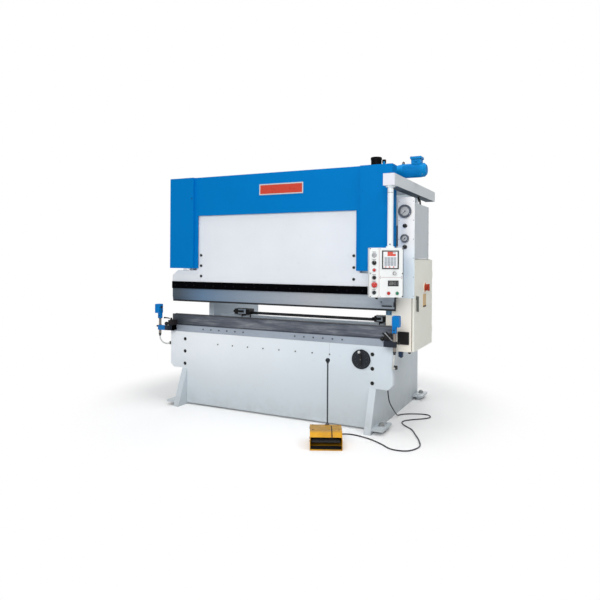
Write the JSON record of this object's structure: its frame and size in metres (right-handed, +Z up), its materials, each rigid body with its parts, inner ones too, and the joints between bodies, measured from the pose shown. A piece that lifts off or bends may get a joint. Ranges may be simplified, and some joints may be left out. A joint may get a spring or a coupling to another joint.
{
  "type": "hydraulic press brake",
  "caption": "Hydraulic press brake: long ram and punch over a vee die on a bed between C-shaped side frames, with control pendant, cabinet and foot pedal.",
  "frame": {"origin": "centre of the four anchor holes in the base plates, at floor level", "axes": "+X along the bed towards the control side, +Y from the operator towards the back, +Z up"},
  "size_m": [2.9145, 2.2715, 2.5857],
  "materials": {
    "frame_paint": "satin light grey paint",
    "plate_paint": "satin off-white paint",
    "blue_paint": "satin blue paint",
    "blue_grey_paint": "satin blue paint",
    "tool_steel": "ground tool steel",
    "table_steel": "machined steel",
    "machined_steel": "machined steel",
    "polished_rod": "polished hard chrome",
    "black_steel": "blackened steel",
    "zinc_steel": "zinc plated",
    "nameplate_red": "red enamel",
    "cabinet_cream": "fine textured cream paint",
    "panel_white": "white paint",
    "box_grey": "grey paint",
    "pole_grey": "grey paint",
    "pendant_shell": "white paint",
    "black_plastic": "matt black plastic",
    "grey_plastic": "grey plastic",
    "red_plastic": "gloss red plastic",
    "green_plastic": "gloss green plastic",
    "display_black": "gloss black display",
    "guard_blue": "bright blue plastic",
    "hose_grey": "light grey sheath",
    "cord_black": "dark grey sheath",
    "guard_yellow": "yellow paint"
  },
  "bodies": {
    "machine": {"side_frames": "frame_paint", "levelling_feet": "zinc_steel", "cross_ties": "frame_paint", "bed_plate": "plate_paint", "bed_fasteners": "black_steel", "die_table": "table_steel", "die": "tool_steel", "ram_guides": "machined_steel", "cylinder_barrels": "blue_grey_paint", "front_cover": "blue_grey_paint", "cylinder_housings": "blue_grey_paint", "nameplate": "nameplate_red", "hydraulic_tank": "blue_grey_paint", "tank_lid": "blue_grey_paint", "pump": "blue_paint", "motor_case": "blue_paint", "pipework": "zinc_steel", "support_arm": "frame_paint", "gauge_panel": "panel_white", "gauge_box": "box_grey", "pressure_gauges": "zinc_steel", "electric_cabinet": "cabinet_cream", "guard_brackets": "guard_blue", "left_guard_hose": "hose_grey", "right_guard_hose": "hose_grey", "back_gauge_rails": "machined_steel", "pedal_guard": "guard_yellow", "pedal_cord": "cord_black"},
    "ram": {"ram_plate": "plate_paint", "ram_bolts": "black_steel", "punch_clamp": "black_steel", "punch": "tool_steel", "piston_rods": "polished_rod"},
    "back_gauge": {"back_gauge_beam": "frame_paint"},
    "pendant": {"pendant_pole": "pole_grey", "pendant_case": "pendant_shell", "pendant_display": "display_black"},
    "door": {"cabinet_door": "cabinet_cream"},
    "rotor": {"motor_rotor": "machined_steel"},
    "filler_cap_body": {"filler_cap": "black_plastic"},
    "key_selector_body": {"key_selector": "grey_plastic"},
    "mode_selector_body": {"mode_selector": "black_plastic"},
    "left_upper_button_body": {"left_upper_button": "black_plastic"},
    "left_lower_button_body": {"left_lower_button": "grey_plastic"},
    "emergency_stop_body": {"emergency_stop": "red_plastic"},
    "speed_knob_body": {"speed_knob": "grey_plastic"},
    "stop_button_body": {"stop_button": "red_plastic"},
    "start_button_body": {"start_button": "green_plastic"},
    "upper_needle_body": {"upper_needle": "black_steel"},
    "lower_needle_body": {"lower_needle": "black_steel"},
    "upper_valve_knob_body": {"upper_valve_knob": "black_plastic"},
    "lower_valve_knob_body": {"lower_valve_knob": "black_plastic"},
    "door_handle_body": {"door_handle": "black_plastic"},
    "isolator_switch_body": {"isolator_switch": "red_plastic"},
    "crowning_dial_body": {"crowning_dial": "black_plastic"},
    "left_guard_head_body": {"left_guard_head": "guard_blue"},
    "right_guard_head_body": {"right_guard_head": "guard_blue"},
    "left_guard_knob_body": {"left_guard_knob": "black_plastic"},
    "right_guard_knob_body": {"right_guard_knob": "black_plastic"},
    "pedal_treadle_body": {"pedal_treadle": "black_steel"}
  },
  "joints": [
    {"name": "ram_stroke", "type": "slide", "parent": "machine", "child": "ram", "axis": [0, 0, -1], "range_m": [0, 0.15]},
    {"name": "back_gauge_travel", "type": "slide", "parent": "machine", "child": "back_gauge", "axis": [0, 1, 0], "range_m": [-0.38, 0.45]},
    {"name": "pendant_swivel", "type": "hinge", "parent": "machine", "child": "pendant", "pos_m": [1.304, -0.99, 1.663], "axis": [0, 0, 1], "range_deg": [-110, 60]},
    {"name": "cabinet_door_hinge", "type": "hinge", "parent": "machine", "child": "door", "pos_m": [1.408, 0.092, 1.148], "axis": [0, 0, 1], "range_deg": [0, 110]},
    {"name": "door_handle_turn", "type": "hinge", "parent": "door", "child": "door_handle_body", "pos_m": [1.415, -0.533, 1.215], "axis": [1, 0, 0], "range_deg": [0, 90]},
    {"name": "isolator_turn", "type": "hinge", "parent": "door", "child": "isolator_switch_body", "pos_m": [1.415, -0.23, 1.3], "axis": [1, 0, 0], "range_deg": [-90, 0]},
    {"name": "motor_spin", "type": "hinge", "parent": "machine", "child": "rotor", "pos_m": [1.35, -0.37, 2.41], "axis": [1, 0, 0], "continuous": true},
    {"name": "filler_cap_turn", "type": "hinge", "parent": "machine", "child": "filler_cap_body", "pos_m": [0.925, -0.24, 2.46], "axis": [0, 0, 1], "range_deg": [0, 120]},
    {"name": "crowning_dial_turn", "type": "hinge", "parent": "machine", "child": "crowning_dial_body", "pos_m": [0.953, -0.72, 0.645], "axis": [0, 1, 0], "range_deg": [-180, 180]},
    {"name": "upper_needle_swing", "type": "hinge", "parent": "machine", "child": "upper_needle_body", "pos_m": [1.328, -0.628, 2.004], "axis": [0, 1, 0], "range_deg": [0, 270], "stiffness_Nm_per_rad": 0.02},
    {"name": "lower_needle_swing", "type": "hinge", "parent": "machine", "child": "lower_needle_body", "pos_m": [1.328, -0.628, 1.757], "axis": [0, 1, 0], "range_deg": [0, 270], "stiffness_Nm_per_rad": 0.02},
    {"name": "upper_valve_turn", "type": "hinge", "parent": "machine", "child": "upper_valve_knob_body", "pos_m": [1.328, -0.63, 1.872], "axis": [0, 1, 0], "range_deg": [0, 720]},
    {"name": "lower_valve_turn", "type": "hinge", "parent": "machine", "child": "lower_valve_knob_body", "pos_m": [1.328, -0.63, 1.68], "axis": [0, 1, 0], "range_deg": [0, 720]},
    {"name": "left_guard_height", "type": "slide", "parent": "machine", "child": "left_guard_head_body", "axis": [0, 0, 1], "range_m": [0, 0.03]},
    {"name": "left_guard_knob_turn", "type": "hinge", "parent": "machine", "child": "left_guard_knob_body", "pos_m": [-1.265, -0.78, 0.856], "axis": [1, 0, 0], "range_deg": [0, 180]},
    {"name": "right_guard_height", "type": "slide", "parent": "machine", "child": "right_guard_head_body", "axis": [0, 0, 1], "range_m": [0, 0.03]},
    {"name": "right_guard_knob_turn", "type": "hinge", "parent": "machine", "child": "right_guard_knob_body", "pos_m": [1.173, -0.78, 0.856], "axis": [1, 0, 0], "range_deg": [0, 180]},
    {"name": "key_selector_turn", "type": "hinge", "parent": "pendant", "child": "key_selector_body", "pos_m": [1.19884, -1.0997, 1.6], "axis": [-0.454, 0.891, 0], "range_deg": [0, 90]},
    {"name": "mode_selector_turn", "type": "hinge", "parent": "pendant", "child": "mode_selector_body", "pos_m": [1.19884, -1.0997, 1.536], "axis": [-0.454, 0.891, 0], "range_deg": [-45, 45]},
    {"name": "speed_knob_turn", "type": "hinge", "parent": "pendant", "child": "speed_knob_body", "pos_m": [1.35209, -1.02161, 1.448], "axis": [-0.454, 0.891, 0], "range_deg": [-135, 135]},
    {"name": "left_upper_button_press", "type": "slide", "parent": "pendant", "child": "left_upper_button_body", "axis": [-0.454, 0.891, 0], "range_m": [0, 0.004], "stiffness_N_per_m": 900},
    {"name": "left_lower_button_press", "type": "slide", "parent": "pendant", "child": "left_lower_button_body", "axis": [-0.454, 0.891, 0], "range_m": [0, 0.004], "stiffness_N_per_m": 900},
    {"name": "stop_button_press", "type": "slide", "parent": "pendant", "child": "stop_button_body", "axis": [-0.454, 0.891, 0], "range_m": [0, 0.004], "stiffness_N_per_m": 900},
    {"name": "start_button_press", "type": "slide", "parent": "pendant", "child": "start_button_body", "axis": [-0.454, 0.891, 0], "range_m": [0, 0.004], "stiffness_N_per_m": 900},
    {"name": "emergency_stop_press", "type": "slide", "parent": "pendant", "child": "emergency_stop_body", "axis": [-0.454, 0.891, 0], "range_m": [0, 0.0055]},
    {"name": "pedal_press", "type": "hinge", "parent": "machine", "child": "pedal_treadle_body", "pos_m": [0.80396, -1.19643, 0.034], "axis": [0.9063, 0.4226, 0], "range_deg": [0, 9], "stiffness_Nm_per_rad": 60, "springref_deg": -20.05}
  ]
}
